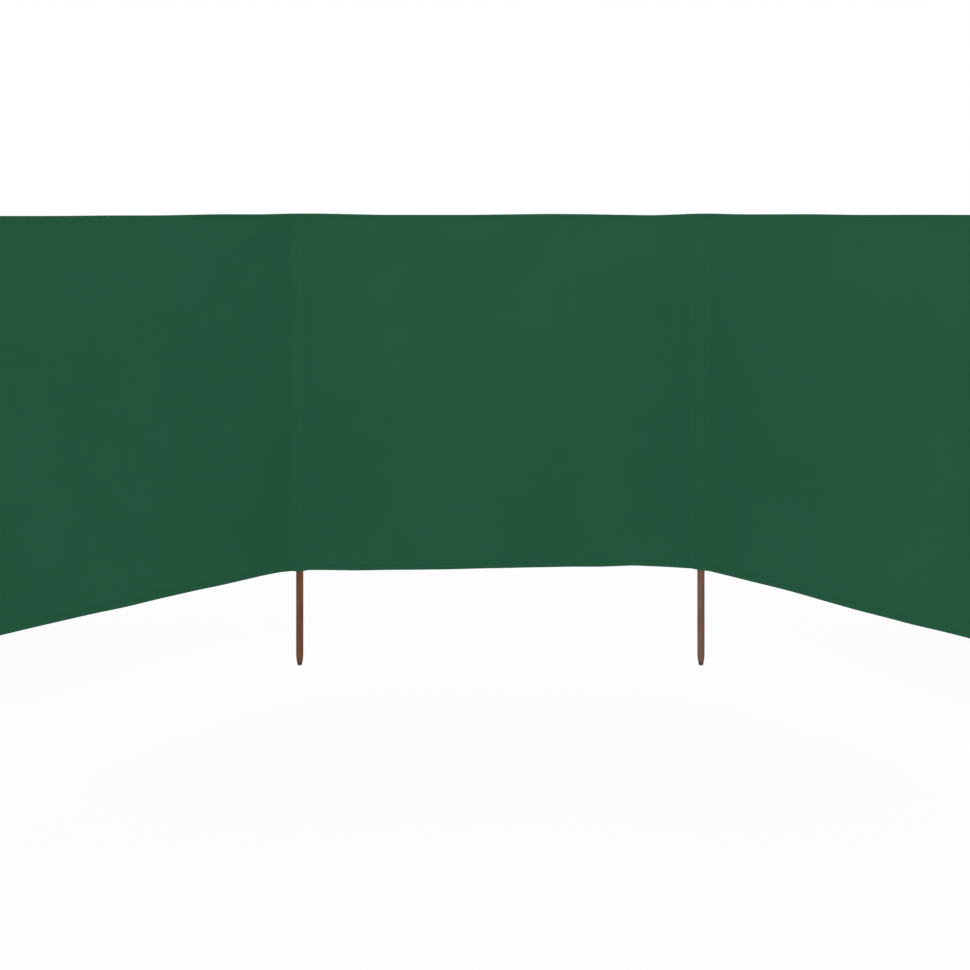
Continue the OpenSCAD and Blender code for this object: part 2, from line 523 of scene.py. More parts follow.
def sheet_places(s):
    """Places of every row of the sheet at lengths along the cloth's line."""
    place, normal, q = cloth_line.at(s)
    low, high = lower_edge.at(q), upper_edge.at(q)
    heights = low + row_share * (high - low) + row_inset
    out = row_depth - end_lift(s, heights, low, high) + cloth_swell(q, heights)
    x = place[:, 0] + normal[:, 0] * out
    y = place[:, 1] + normal[:, 1] * out
    return np.stack([x, y, heights], axis=-1)


sheet_grid = sheet_places(columns)
print("sheet: grid of", sheet_grid.shape[0], "by", sheet_grid.shape[1], "places")

# %% [markdown]
# The grid of places becomes a mesh of quads. Its UV map is the flat cloth in metres, which the weave will
# be read from, and every corner also keeps its distance from the nearest stitches. The sheet is built
# without thickness, because one layer is easier to fold, and Solidify thickens it at the end.

# %% From a grid to a mesh
def grid_mesh(name, places, uv):
    """A mesh of quads from a grid of places, with a UV map in metres."""
    rows, across = places.shape[:2]
    corner = np.arange(rows * across).reshape(rows, across)
    quads = np.stack([corner[:-1, :-1], corner[:-1, 1:], corner[1:, 1:], corner[1:, :-1]], axis=-1)
    quads = quads.reshape(-1, 4)
    mesh = bpy.data.meshes.new(name)
    mesh.from_pydata(places.reshape(-1, 3).tolist(), [], quads.tolist())
    layer = mesh.uv_layers.new(name="cloth_uv")
    layer.data.foreach_set("uv", uv.reshape(-1, 2)[quads.ravel()].astype(np.float32).ravel())
    return mesh


row_height = np.linalg.norm(np.diff(sheet_grid, axis=0), axis=2).mean(axis=1)
sheet_v = np.append(0, np.cumsum(row_height))
sheet_uv = np.stack(np.broadcast_arrays(columns[None, :], sheet_v[:, None]), axis=-1)
cloth_mesh = grid_mesh("windbreak_cloth", sheet_grid, sheet_uv)

# %% Distances from the stitches
SEAM_MARGIN = 3 * MM
SEAM_INSETS = np.array([SEAM_MARGIN, strip_x - seam_x - SEAM_MARGIN])


def seam_places(line):
    """Lengths along a line of cloth at which the pocket seams are sewn through it, two rows a seam."""
    before, after = line.marks[0::2, None], line.marks[1::2, None]
    return np.concatenate([before - SEAM_INSETS, after + SEAM_INSETS]).ravel()


def seam_distance(line, s):
    """Distance of each length along a line of cloth from the nearest seam row."""
    return np.abs(s[:, None] - seam_places(line)).min(axis=1)


def stitch_distances(mesh, shape, hem, seam):
    """Stores on every corner how far it is from the nearest hem stitches and seam stitches."""
    for name, distance in (("hem_distance", hem), ("seam_distance", seam)):
        values = np.broadcast_to(np.minimum(distance, FAR), shape).astype(np.float32)
        mesh.attributes.new(name, "FLOAT", "POINT").data.foreach_set("value", values.ravel())


stitch_distances(cloth_mesh, sheet_grid.shape[:2], row_near, seam_distance(cloth_line, columns))
print("seam rows up the cloth:", len(seam_places(cloth_line)))

# %% Thickness
def linked(name, mesh):
    """A new object in the scene, at the origin."""
    made = bpy.data.objects.new(name, mesh)
    bpy.context.scene.collection.objects.link(made)
    return made


def settled(piece):
    """The piece with its modifiers carried out, as a plain smooth mesh."""
    graph = bpy.context.evaluated_depsgraph_get()
    shaped = piece.evaluated_get(graph)
    mesh = bpy.data.meshes.new_from_object(shaped, preserve_all_data_layers=True, depsgraph=graph)
    piece.modifiers.clear()
    piece.data = mesh
    mesh.name = piece.name
    mesh.polygons.foreach_set("use_smooth", [True] * len(mesh.polygons))
    return piece


def thickened(mesh):
    """A piece made from a sheet of cloth, with its thickness half on each side."""
    piece = linked(mesh.name, mesh)
    solid = piece.modifiers.new("thickness", "SOLIDIFY")
    solid.thickness = CLOTH_T
    solid.offset = 0
    return settled(piece)


def triangles(piece):
    piece.data.calc_loop_triangles()
    return len(piece.data.loop_triangles)


cloth = thickened(cloth_mesh)
print(f"{cloth.name}: {triangles(cloth)} triangles")

# %% [markdown]
# ## The pocket strips
#
# Behind every inner post a strip of cloth makes the back of the pocket. Its long edges are turned under
# and sewn to the back of the screen, it rounds the post on the far side, and its top is laid forward over
# the end of the post and caught by the upper hem, which closes the pocket. It could be cut from the solid
# of the pocket, but that has no turned edges. A strip is a grid on a line of its own, as the cloth is.

# %% Lines round the backs of the inner posts
STRIP_DEPTH = CLOTH_DEPTH + 1.4 * MM
STRIP_SOFTEN = 1.5 * MM
BACK_CLEAR = 0.25 * MM
INNER_POSTS = range(1, POSTS - 1)
back_r = post_r + BACK_CLEAR + CLOTH_T / 2
back_r += STRIP_SOFTEN ** 2 / (2 * back_r)


def strip_line(k):
    """Plan line of the strip behind inner post k, from one sewn edge to the other."""
    first = bay_stretch(k - 1, pitch - strip_x, pitch - seam_x, STRIP_DEPTH, SEWN_POINTS)
    second = bay_stretch(k, seam_x, strip_x, STRIP_DEPTH, SEWN_POINTS)
    turn = round_post(k, first[0][-1], second[0][0], back_r, -1)
    return PlanLine([first, (turn, float(k)), second], STRIP_SOFTEN)


strip_lines = {k: strip_line(k) for k in INNER_POSTS}
print("strips:", [f"{line.total:.4f}" for line in strip_lines.values()], "m across, edges not counted")

# %% Columns across a strip
STRIP_TURN = 0.35 * MM
STRIP_RETURN = 8 * MM
STRIP_STEP = 2.5 * MM
TURN_COLUMNS = 5
RETURN_COLUMNS = 4


def strip_columns(line):
    """Columns across a strip: length along its line, outward run at its turned edges, and layer depth."""
    angles = np.linspace(0, math.pi, TURN_COLUMNS)[1:]
    turned = [(0, STRIP_TURN * math.sin(a), STRIP_TURN * (math.cos(a) - 1)) for a in angles]
    turned += [(run, 0, -2 * STRIP_TURN) for run in np.linspace(0, STRIP_RETURN, RETURN_COLUMNS)[1:]]
    first = [(run, -out, depth) for run, out, depth in turned[::-1]]
    last = [(line.total - run, out, depth) for run, out, depth in turned]
    middle = [(s, 0, 0) for s in spaced([0, *line.marks, line.total], [STRIP_STEP] * 3)]
    return np.array(first + middle + last).T


print("strips:", [strip_columns(line).shape[1] for line in strip_lines.values()], "columns")

# %% [markdown]
# Where a strip crosses a hem, its sewn edges step up over the hem's layers, and between its stitches they
# pucker a little. The pucker is a slow wave whose pace changes with the height, since no seam is fed
# evenly.

# %% Walls of the strips
STRIP_LIFT = HEM_BACK
STRIP_ROW = 8 * MM
PUCKER_DEPTH = 0.3 * MM
PUCKER_LENGTH = 21 * MM
# How far the pace of the puckers changes, and in how many turns a metre
PACE_CHANGE, PACE_TURNS = 2.4, 11
LID_R = 2 * MM
lid_z = post_top + POST_CLEAR + CLOTH_T / 2


def strip_reach(k, line, s, z, low, high):
    """How far a strip's sewn edges step up over the hems, and how far they pucker between stitches."""
    sewn = sewn_share(line, s)
    ruck = 0.5 + 0.5 * np.sin(2 * math.pi * z / PUCKER_LENGTH + PACE_CHANGE * np.sin(PACE_TURNS * z + k))
    return sewn * STRIP_LIFT * hem_nearness(z, low, high), sewn * PUCKER_DEPTH * ruck


def strip_wall(k, line, s, out, depth):
    """Grid of a strip from its lower edge to the turn of its lid, and the plan of its columns."""
    place, normal, q = line.at(s)
    tangent = np.stack([normal[:, 1], -normal[:, 0]], axis=1)
    plan = place + tangent * out[:, None] + normal * depth[:, None]
    low, high = lower_edge.at(q), np.full(len(q), lid_z)
    share = np.linspace(0, 1, int((cloth_top - cloth_foot) / STRIP_ROW))[:, None]
    z = low + (high - LID_R - low) * share
    lift, pucker = strip_reach(k, line, s, z, low, high)
    reach = lift + pucker * (depth == 0)
    return np.concatenate([plan + normal * reach[..., None], z[..., None]], axis=-1), plan


print(f"strips: walls up to {lid_z - LID_R:.4f}, stepping up {STRIP_LIFT / MM} mm over the hems")

# %% Lids of the strips
LID_ROWS = 6
LID_TURN_ROWS = 5


def lid_fronts(k, share):
    """Places on the back of the upper hem in front of post k, by share of the way from seam to seam."""
    start, end = cloth_line.marks[2 * k], cloth_line.marks[2 * k + 1]
    place, normal, _ = cloth_line.at(start + (end - start) * np.clip(share, 0, 1))
    return place + normal * (HEM_BACK + CLOTH_T)


def strip_lid(k, line, s, brim):
    """Rows that turn forward from the top row of a strip over the post's end, only between the seams."""
    across = (s - line.marks[0]) / (line.marks[1] - line.marks[0])
    front = lid_fronts(k, across)
    inside = ((across > 0) & (across < 1))[:, None]
    top, z = brim[:, :2], brim[:, 2]
    gap = np.where(inside, front - top, 0)
    width = np.maximum(np.linalg.norm(gap, axis=1, keepdims=True), LID_R)
    rows = []
    for a in np.linspace(0, math.pi / 2, LID_TURN_ROWS)[1:]:
        forward = LID_R * (1 - math.cos(a)) / width
        rows.append(np.concatenate([top + gap * forward, (z + LID_R * math.sin(a))[:, None]], axis=1))
    start = rows[-1]
    for share in np.linspace(0, 1, LID_ROWS + 1)[1:]:
        flat = start.copy()
        flat[:, :2] = start[:, :2] + (np.where(inside, front, start[:, :2]) - start[:, :2]) * share
        rows.append(flat)
    return np.stack(rows)


print(f"strips: lids at {lid_z:.4f}, {lid_z - post_top:.4f} above the posts")

# %% Strips sewn behind the posts
MERGE = 0.01 * MM


def joined(mesh):
    """Merges corners that fall together, so that no face is left without area."""
    work = bmesh.new()
    work.from_mesh(mesh)
    bmesh.ops.remove_doubles(work, verts=work.verts, dist=MERGE)
    bmesh.ops.dissolve_degenerate(work, edges=work.edges, dist=MERGE)
    work.to_mesh(mesh)
    work.free()
    return mesh


def pocket_strip(k):
    """The strip behind inner post k and the size it was cut to."""
    line = strip_lines[k]
    s, out, depth = strip_columns(line)
    wall, plan = strip_wall(k, line, s, out, depth)
    places = np.concatenate([wall, strip_lid(k, line, s, wall[-1])])
    u = np.append(0, np.cumsum(np.linalg.norm(np.diff(plan, axis=0), axis=1)))
    v = np.append(0, np.cumsum(np.linalg.norm(np.diff(places, axis=0), axis=2).max(axis=1)))
    # Each strip is cut from another place of the woven cloth, a metre on
    uv = np.stack(np.broadcast_arrays(u[None, :] + k, v[:, None]), axis=-1)
    mesh = grid_mesh(f"pocket_strip_{k + 1}", places, uv)
    to_seam = np.where(depth == 0, seam_distance(line, s), FAR)
    stitch_distances(mesh, places.shape[:2], FAR, to_seam)
    rise = wall[-1, :, 2].mean() - wall[0, :, 2].mean()
    return thickened(joined(mesh)), (u[-1], rise + post_r * 2)


strips = {k: pocket_strip(k) for k in INNER_POSTS}
for piece, cut in strips.values():
    print(f"{piece.name}: {triangles(piece)} triangles, cut {cut[0]:.3f} by {cut[1]:.3f} m")

# %% [markdown]
# ## The lids of the end pockets
#
# At the end posts the cloth goes all the way round. A small piece of cloth, sewn into the top of that
# loop, keeps the post from coming through. A round disc would leave gaps where the loop narrows to its
# seam, so the patch is ruled between the back and the front of the loop.

# %% Lids in the two end loops
LID_COLUMNS = 24


def end_lid(k):
    """The patch that closes the top of the loop round an end post, the size it was cut to and its area."""
    start, end = cloth_line.marks[2 * k:2 * k + 2]
    share = np.linspace(0, 0.5, LID_COLUMNS)
    sides = []
    for way in (share, 1 - share):
        place, normal, _ = cloth_line.at(start + (end - start) * way)
        sides.append(place + normal * (HEM_BACK + CLOTH_T))
    rows = np.linspace(0, 1, LID_ROWS + 2)[:, None, None]
    plan = sides[0] + (sides[1] - sides[0]) * rows
    places = np.concatenate([plan, np.full(plan.shape[:2] + (1,), lid_z)], axis=-1)
    mesh = joined(grid_mesh(f"pocket_lid_{k + 1}", places, plan))
    width = np.linalg.norm(sides[0] - sides[1], axis=1)
    reach = np.linalg.norm(np.diff((sides[0] + sides[1]) / 2, axis=0), axis=1)
    area = float((reach * (width[1:] + width[:-1]) / 2).sum())
    return thickened(mesh), (float(width.max()), float(reach.sum())), area


lids = {k: end_lid(k) for k in (0, POSTS - 1)}
for piece, cut, area in lids.values():
    print(f"{piece.name}: {triangles(piece)} triangles, area {area * 1e4:.1f} square centimetres")

# %% [markdown]
# ## Woven cloth
#
# The cloth is a plain weave, dyed in one dark green. A picture of cloth could be laid on it, but that
# would repeat and blur close to. Nodes work the weave out instead, from the UV map, which is the flat
# cloth in metres. So the yarns have their true size and follow the cloth round the posts and through the
# hems.

# %% A new finish
def wired(tree, kind, inputs=None, **settings):
    """A node with its settings made and its inputs set or linked."""
    made = tree.nodes.new(kind)
    for name, value in settings.items():
        setattr(made, name, value)
    for key, value in (inputs or {}).items():
        if isinstance(value, bpy.types.NodeSocket):
            tree.links.new(value, made.inputs[key])
        else:
            made.inputs[key].default_value = value
    return made


def new_finish(name, roughness, specular):
    """A material with its plain shader, and the tree to build on."""
    made = bpy.data.materials.new(name)
    made.use_nodes = True
    shader = made.node_tree.nodes["Principled BSDF"]
    shader.inputs["Roughness"].default_value = roughness
    shader.inputs["Specular IOR Level"].default_value = specular
    return made, made.node_tree, shader


woven, weave, woven_shader = new_finish("woven_cloth", roughness=0.9, specular=0.08)
cloth_uv = wired(weave, "ShaderNodeUVMap", uv_map="cloth_uv").outputs["UV"]
print("finish:", woven.name)

# %% [markdown]
# At one crossing of the yarns the upright one lies on top, and at the next one the level yarn. A sine
# each way gives the round yarns, and the sign of their product says which of the two is on top.

# %% Yarns that cross
YARN = 0.7 * MM
CROSSING = 0.35


def reckoned(tree, operation, *values):
    """The result of one step of arithmetic on sockets and numbers."""
    return wired(tree, "ShaderNodeMath", dict(enumerate(values)), operation=operation).outputs[0]


def ranged(tree, value, low, high, to_low=0.0, to_high=1.0, **settings):
    """A value carried from one range to another, and held at both ends."""
    limits = {"From Min": low, "From Max": high, "To Min": to_low, "To Max": to_high}
    return wired(tree, "ShaderNodeMapRange", {"Value": value, **limits}, **settings).outputs[0]


flat_cloth = wired(weave, "ShaderNodeSeparateXYZ", {0: cloth_uv})
waves = []
for axis in ("X", "Y"):
    turns = reckoned(weave, "MULTIPLY", flat_cloth.outputs[axis], math.pi / YARN)
    waves.append(reckoned(weave, "SINE", turns))
crossing = reckoned(weave, "MULTIPLY", *waves)
tops = []
for wave, side in zip(waves, (1.0, -1.0)):
    upper = ranged(weave, crossing, -CROSSING * side, CROSSING * side)
    tops.append(reckoned(weave, "MULTIPLY", reckoned(weave, "ABSOLUTE", wave), upper))
crowns = reckoned(weave, "MAXIMUM", *tops)
print(f"weave: {1 / (YARN / MM):.2f} yarns to the millimetre")

# %% [markdown]
# Single yarns are thicker or thinner for a hand's breadth, and the dye is never quite even. Two patterns
# drawn out along the yarns give the first, and one broad pattern gives the second. Both stay faint,
# because the photograph shows a calm even green.

# %% Slubs and dye
CLOTH_GREEN = (0.0168, 0.0980, 0.0496, 1)
CLOTH_DARK = (0.0154, 0.0938, 0.0466, 1)
CLOTH_LIGHT = (0.0192, 0.1024, 0.0532, 1)
# Changes of a yarn to the metre, along it and across it
YARN_RUN, YARN_CROSS = 5, 420
DYE_SCALE = 3.2
SLUB_TONE = 0.5
UNEVEN_LOW, UNEVEN_HIGH = 0.6, 1.4


def mottled(tree, where, detail, scale=1.0, stretch=None, flat=False, **inputs):
    """A soft random pattern, with its own number of changes to the metre each way if stretched."""
    if stretch:
        where = wired(tree, "ShaderNodeMapping", {"Vector": where, "Scale": stretch}).outputs[0]
    inputs = {"Vector": where, "Scale": scale, "Detail": detail, **inputs}
    return wired(tree, "ShaderNodeTexNoise", inputs, noise_dimensions="2D" if flat else "3D").outputs["Fac"]


level_yarns = mottled(weave, cloth_uv, 2.0, stretch=(YARN_RUN, YARN_CROSS, 1), flat=True)
upright_yarns = mottled(weave, cloth_uv, 2.0, stretch=(YARN_CROSS, YARN_RUN, 1), flat=True)
slub = reckoned(weave, "ADD", level_yarns, upright_yarns)
dye = mottled(weave, cloth_uv, 4.0, scale=DYE_SCALE, flat=True, Roughness=0.6)
uneven = reckoned(weave, "MULTIPLY_ADD", slub, SLUB_TONE, dye)
cloth_tone = wired(weave, "ShaderNodeValToRGB", {"Fac": ranged(weave, uneven, UNEVEN_LOW, UNEVEN_HIGH)})
cloth_tone.color_ramp.elements[0].color = CLOTH_DARK
cloth_tone.color_ramp.elements[1].color = CLOTH_LIGHT
cloth_tone.color_ramp.elements.new(0.5).color = CLOTH_GREEN
print("dye:", len(cloth_tone.color_ramp.elements), "greens")

# %% [markdown]
# Stitches draw the cloth in. Beside each row it shows a narrow groove, and the hems, sewn through four
# layers, are drawn in more than the seams. Between the yarns lie small pits. Both are darkened here with
# painted shade, because they are too fine to be modelled over the whole cloth.

# %% Painted shade of grooves and pits in the colour
# Colour of the painted shade in the grooves beside the stitches and in the pits between the yarns
CLOTH_PAINTED_SHADE = (0.0086, 0.0555, 0.0268, 1)
GROOVE_STRENGTHS = (("hem_distance", 0.5), ("seam_distance", 0.15))
GROOVE_FLOOR = 0.3 * MM
GROOVE_W = 1.7 * MM
# Range of the dye pattern over which the stitches tighten, and how tight the slackest are; it scales the
# painted groove shade
TIGHT_LOW, TIGHT_HIGH, LEAST_TIGHT = 0.35, 0.6, 0.45
# Range of heights over which the painted shade of a pit between yarns fades, and its share of the painted
# shade colour
PIT_LOW, PIT_HIGH, PIT_SHADE = 0.2, 0.7, 0.22


def blended(tree, share, first, second):
    """A mix of two colours."""
    made = wired(tree, "ShaderNodeMix", {"Factor": share, "A": first, "B": second}, data_type="RGBA")
    return next(output for output in made.outputs if output.type == "RGBA")


grooves, distances = [], []
for name, strength in GROOVE_STRENGTHS:
    distance = wired(weave, "ShaderNodeAttribute", attribute_name=name).outputs["Fac"]
    distances.append(distance)
    grooves.append(ranged(weave, distance, GROOVE_FLOOR, GROOVE_W, strength, 0.0,
                          interpolation_type="SMOOTHSTEP"))
groove_depth_and_shade = reckoned(weave, "MAXIMUM", *grooves)
stitch_distance = reckoned(weave, "MINIMUM", *distances)
tightness = ranged(weave, dye, TIGHT_LOW, TIGHT_HIGH, LEAST_TIGHT, 1.0)
# Painted shade: the colour is darkened in the grooves beside the stitch rows and in the pits between the
# yarns
painted_groove_shade = reckoned(weave, "MULTIPLY", groove_depth_and_shade, tightness)
painted_pit_shade = ranged(weave, crowns, PIT_LOW, PIT_HIGH, PIT_SHADE, 0.0)
shade = reckoned(weave, "MAXIMUM", painted_groove_shade, painted_pit_shade)
weave.links.new(blended(weave, shade, cloth_tone.outputs["Color"], CLOTH_PAINTED_SHADE),
                woven_shader.inputs["Base Color"])
print(f"grooves: {GROOVE_W / MM} mm to each side of {len(grooves)} kinds of stitch rows")

# %% [markdown]
# The same parts give the relief. Two bumps follow each other: a deeper one for the puckers and grooves
# beside the stitches, and a fine one for the yarns, which would take millions of faces to model. A little
# sheen stands for the loose fibres of the yarn.

# %% Relief and sheen of the cloth
PUCKER_REACH = 9 * MM
PUCKER_SCALE = 75.0
PULL_HEIGHT = 0.6 * MM
YARN_HEIGHT = 0.18 * MM
SLUB_HEIGHT = 0.6

beside = ranged(weave, stitch_distance, 0.0, PUCKER_REACH, 1.0, 0.0)
pucker = reckoned(weave, "MULTIPLY", beside, mottled(weave, cloth_uv, 1.0, scale=PUCKER_SCALE, flat=True))
drawn_in = reckoned(weave, "SUBTRACT", pucker, groove_depth_and_shade)
pulled = wired(weave, "ShaderNodeBump", {"Height": drawn_in, "Strength": 0.5, "Distance": PULL_HEIGHT})
relief = reckoned(weave, "MULTIPLY_ADD", slub, SLUB_HEIGHT, crowns)
yarn_bump = wired(weave, "ShaderNodeBump", {"Height": relief, "Strength": 0.7, "Distance": YARN_HEIGHT,
                                            "Normal": pulled.outputs["Normal"]})
weave.links.new(yarn_bump.outputs["Normal"], woven_shader.inputs["Normal"])
woven_shader.inputs["Sheen Weight"].default_value = 0.03
woven_shader.inputs["Sheen Roughness"].default_value = 0.55
woven_shader.inputs["Sheen Tint"].default_value = (0.45, 0.8, 0.6, 1)

strip_pieces = [piece for piece, _ in strips.values()]
lid_pieces = [piece for piece, _, _ in lids.values()]
for piece in [cloth, *strip_pieces, *lid_pieces]:
    piece.data.materials.clear()
    piece.data.materials.append(woven)
print("woven cloth on", 1 + len(strip_pieces) + len(lid_pieces), "pieces")

# %% [markdown]
# ## Sewing thread
#
# The thread is dyed to match the cloth. It is smoother and a little lighter, so its rows catch some
# light. The twist of its strands is too fine to model on thousands of stitches, so a fine pattern of two
# greens stands for it.

# %% Twisted thread
THREAD_GREEN = (0.0235, 0.1180, 0.0610, 1)
THREAD_DARK = (0.0170, 0.0880, 0.0450, 1)
TWIST_SCALE = 900.0

thread, strands, thread_shader = new_finish("sewing_thread", roughness=0.6, specular=0.35)
thread_place = wired(strands, "ShaderNodeTexCoord").outputs["Object"]
thread_tone = wired(strands, "ShaderNodeValToRGB", {"Fac": mottled(strands, thread_place, 1.0, TWIST_SCALE)})
thread_tone.color_ramp.elements[0].color = THREAD_DARK
thread_tone.color_ramp.elements[1].color = THREAD_GREEN
strands.links.new(thread_tone.outputs["Color"], thread_shader.inputs["Base Color"])
print("finish:", thread.name)

# %% [markdown]
# ## Stitches
#
# Every hem and seam is closed by rows of lockstitches, which show on both faces as a line of short
# slanting beads of thread. They could be painted on, but from the side they stand off the cloth. A stitch
# repeats thousands of times along a path, so a Geometry Nodes tree lays one bead at every pitch of a
# guide line, turned along it and very slightly at random.

# %% Inputs of the stitching tree
STITCH_PITCH = 4.5 * MM
STITCH_LENGTH = 3.7 * MM
THREAD_D = 0.55 * MM

stitching = bpy.data.node_groups.new("stitching", "GeometryNodeTree")
stitching.interface.new_socket("Geometry", in_out="INPUT", socket_type="NodeSocketGeometry")
for name, value in (("Pitch", STITCH_PITCH), ("Length", STITCH_LENGTH), ("Thread", THREAD_D)):
    size = stitching.interface.new_socket(name, in_out="INPUT", socket_type="NodeSocketFloat")
    size.default_value = value
seed_socket = stitching.interface.new_socket("Seed", in_out="INPUT", socket_type="NodeSocketInt")
stitching.interface.new_socket("Geometry", in_out="OUTPUT", socket_type="NodeSocketGeometry")
given = wired(stitching, "NodeGroupInput").outputs
print("stitching inputs:", [socket.name for socket in given if socket.name])

# %% [markdown]
# The guide is divided at the pitch, and each of its points gets a direction. The bead is a sphere of a
# few faces, drawn out to the length of a stitch and laid along that direction. A bent tube for every
# stitch would be truer, but far heavier for something so small. At the end the copies become real faces,
# shaded round, with the thread's finish.

# %% Beads along a guide
STITCH_SLANT = 0.07
BEAD_SEGMENTS = 5
BEAD_RINGS = 3


def guide_points(tree):
    """Points at every pitch of the guide, and the turn of the stitch on each."""
    guide = wired(tree, "GeometryNodeMeshToCurve", {"Mesh": given["Geometry"]})
    points = wired(tree, "GeometryNodeResampleCurve",
                   {"Curve": guide.outputs["Curve"], "Length": given["Pitch"]}, mode="LENGTH")
    way = wired(tree, "GeometryNodeInputTangent")
    slant = wired(tree, "FunctionNodeRandomValue",
                  {"Min": (-STITCH_SLANT,) * 3, "Max": (STITCH_SLANT,) * 3, "Seed": given["Seed"]},
                  data_type="FLOAT_VECTOR")
    tilted = wired(tree, "ShaderNodeVectorMath", {0: way.outputs["Tangent"], 1: slant.outputs["Value"]},
                   operation="ADD")
    turned = wired(tree, "FunctionNodeAlignRotationToVector", {"Vector": tilted.outputs[0]}, axis="X")
    return points.outputs["Curve"], turned.outputs["Rotation"]


def thread_beads(tree, points, turn):
    """One bead of thread on every point, as real faces."""
    sphere = wired(tree, "GeometryNodeMeshUVSphere",
                   {"Segments": BEAD_SEGMENTS, "Rings": BEAD_RINGS, "Radius": 0.5})
    lying = wired(tree, "GeometryNodeTransform",
                  {"Geometry": sphere.outputs["Mesh"], "Rotation": (0, math.pi / 2, 0)})
    girth = wired(tree, "ShaderNodeCombineXYZ",
                  {"X": given["Length"], "Y": given["Thread"], "Z": given["Thread"]})
    laid = wired(tree, "GeometryNodeInstanceOnPoints",
                 {"Points": points, "Instance": lying.outputs["Geometry"], "Rotation": turn,
                  "Scale": girth.outputs[0]})
    real = wired(tree, "GeometryNodeRealizeInstances", {"Geometry": laid.outputs["Instances"]})
    smooth = wired(tree, "GeometryNodeSetShadeSmooth", {"Geometry": real.outputs["Geometry"]})
    dyed = wired(tree, "GeometryNodeSetMaterial",
                 {"Geometry": smooth.outputs["Geometry"], "Material": thread})
    return dyed.outputs["Geometry"]


wired(stitching, "NodeGroupOutput", {"Geometry": thread_beads(stitching, *guide_points(stitching))})
print("stitching tree:", len(stitching.nodes), "nodes")

# %% Rows of stitches as one piece
def sewn_rows(name, guides, seed):
    """One piece of stitches along several guide lines, each an array of places."""
    mesh = bpy.data.meshes.new(name)
    counts = np.cumsum([0] + [len(g) for g in guides])
    edges = [(i, i + 1) for a, b in zip(counts[:-1], counts[1:]) for i in range(a, b - 1)]
    mesh.from_pydata(np.concatenate(guides).tolist(), edges, [])
    piece = linked(name, mesh)
    work = piece.modifiers.new("stitching", "NODES")
    work.node_group = stitching
    work[seed_socket.identifier] = seed
    settled(piece)
    # A bead brings an empty material slot of its own, which goes
    piece.data.materials.clear()
    piece.data.materials.append(thread)
    print(f"{name}: {len(guides)} rows, {triangles(piece)} triangles")
    return piece


# %% [markdown]
# The hems are sewn along the whole cloth on the outside. On the inside their rows stop at the pocket
# strips, which cover them. The guides are drawn just off the true faces of the cloth, with its swells and
# lifts, so that every bead lies half sunk and none is buried.

# %% Stitches of the hems
HEM_GUIDES = [(upper_edge, -inset) for inset in UPPER_STITCHES]
HEM_GUIDES += [(lower_edge, inset) for inset in LOWER_STITCHES]
THREAD_PROUD = CLOTH_T / 2 + 0.12 * MM
GUIDE_STEP = 6 * MM
ROW_END = 3 * MM
STRIP_CLEAR = 1 * MM


def cloth_face(s, heights, depth):
    """Places on the front layer at lengths along the cloth and heights, at a depth from its middle."""
    place, normal, q = cloth_line.at(s)
    out = depth + cloth_swell(q, heights) - end_lift(s, heights, lower_edge.at(q), upper_edge.at(q))
    return np.column_stack([place + normal * out[:, None], heights])


def hem_rows(s, depth):
    """Guides of all hem stitches at lengths along the cloth, at a depth from the front layer's middle."""
    q = cloth_line.at(s)[2]
    return [cloth_face(s, edge.at(q) + inset, depth) for edge, inset in HEM_GUIDES]


hem_outside = hem_rows(np.arange(ROW_END, cloth_line.total - ROW_END, GUIDE_STEP), -THREAD_PROUD)
hem_inside = []
for start, end in zip(cloth_line.marks[1::2], cloth_line.marks[2::2]):
    clear = strip_x - seam_x + STRIP_CLEAR
    hem_inside += hem_rows(np.arange(start + clear, end - clear, GUIDE_STEP), HEM_BACK + THREAD_PROUD)
stitches = [sewn_rows("hem_stitches_front", hem_outside, 3), sewn_rows("hem_stitches_back", hem_inside, 5)]

# %% [markdown]
# Each pocket is closed by two rows up either side. They go through the cloth and the strip behind it, so
# each row has one guide up the front of the cloth and one up the back of the strip. At the two ends the
# cloth is sewn to itself, and its own sewn edge carries the guide on the back.

# %% Stitches of the pocket seams
def seam_heights(s, line):
    """Heights up a seam at a length along a line of cloth, clear of both edges."""
    q = line.at(np.array([s]))[2][0]
    head = min(upper_edge.at(q), lid_z - LID_R)
    return np.arange(lower_edge.at(q) + ROW_END, head - ROW_END, GUIDE_STEP)


def cloth_seam(s):
    """Guide up the outer face of the cloth."""
    z = seam_heights(s, cloth_line)
    return cloth_face(np.full(len(z), s), z, -THREAD_PROUD)


def strip_seam(k, line, s):
    """Guide up the outer face of the strip behind an inner post."""
    z = seam_heights(s, line)
    s = np.full(len(z), s)
    place, normal, q = line.at(s)
    lift, pucker = strip_reach(k, line, s, z, lower_edge.at(q), lid_z)
    return np.column_stack([place + normal * (lift + pucker + THREAD_PROUD)[:, None], z])


seam_fronts, seam_backs = [], []
for s in seam_places(cloth_line):
    at_an_end = s < cloth_line.marks[0] or s > cloth_line.marks[-1]
    (seam_backs if at_an_end else seam_fronts).append(cloth_seam(s))
for k, line in strip_lines.items():
    seam_backs += [strip_seam(k, line, s) for s in seam_places(line)]
stitches.append(sewn_rows("seam_stitches_front", seam_fronts, 7))
stitches.append(sewn_rows("seam_stitches_back", seam_backs, 11))

# %% [markdown]
# ## The posts
#
# The posts are turned softwood rods, stained brown and drawn to a blunt swelling point. A cylinder with a
# cone would show a hard ring where the point begins. A lathe section with an arc for the point and small
# rounds at both ends gives the true form. It is spun round each axis, a trace out of round as real rods
# are.

# %% Section of a post
TIP_LEN = 40 * MM
TIP_R = 7 * MM
TIP_ROUND = 1.8 * MM
TOP_ROUND = 2 * MM
SHANK_STEP = 45 * MM
POINT_ROWS = 10
ROUND_ROWS = 5
FOOT_RING_SHARE = 0.5
TOP_RING_SHARE = 0.4


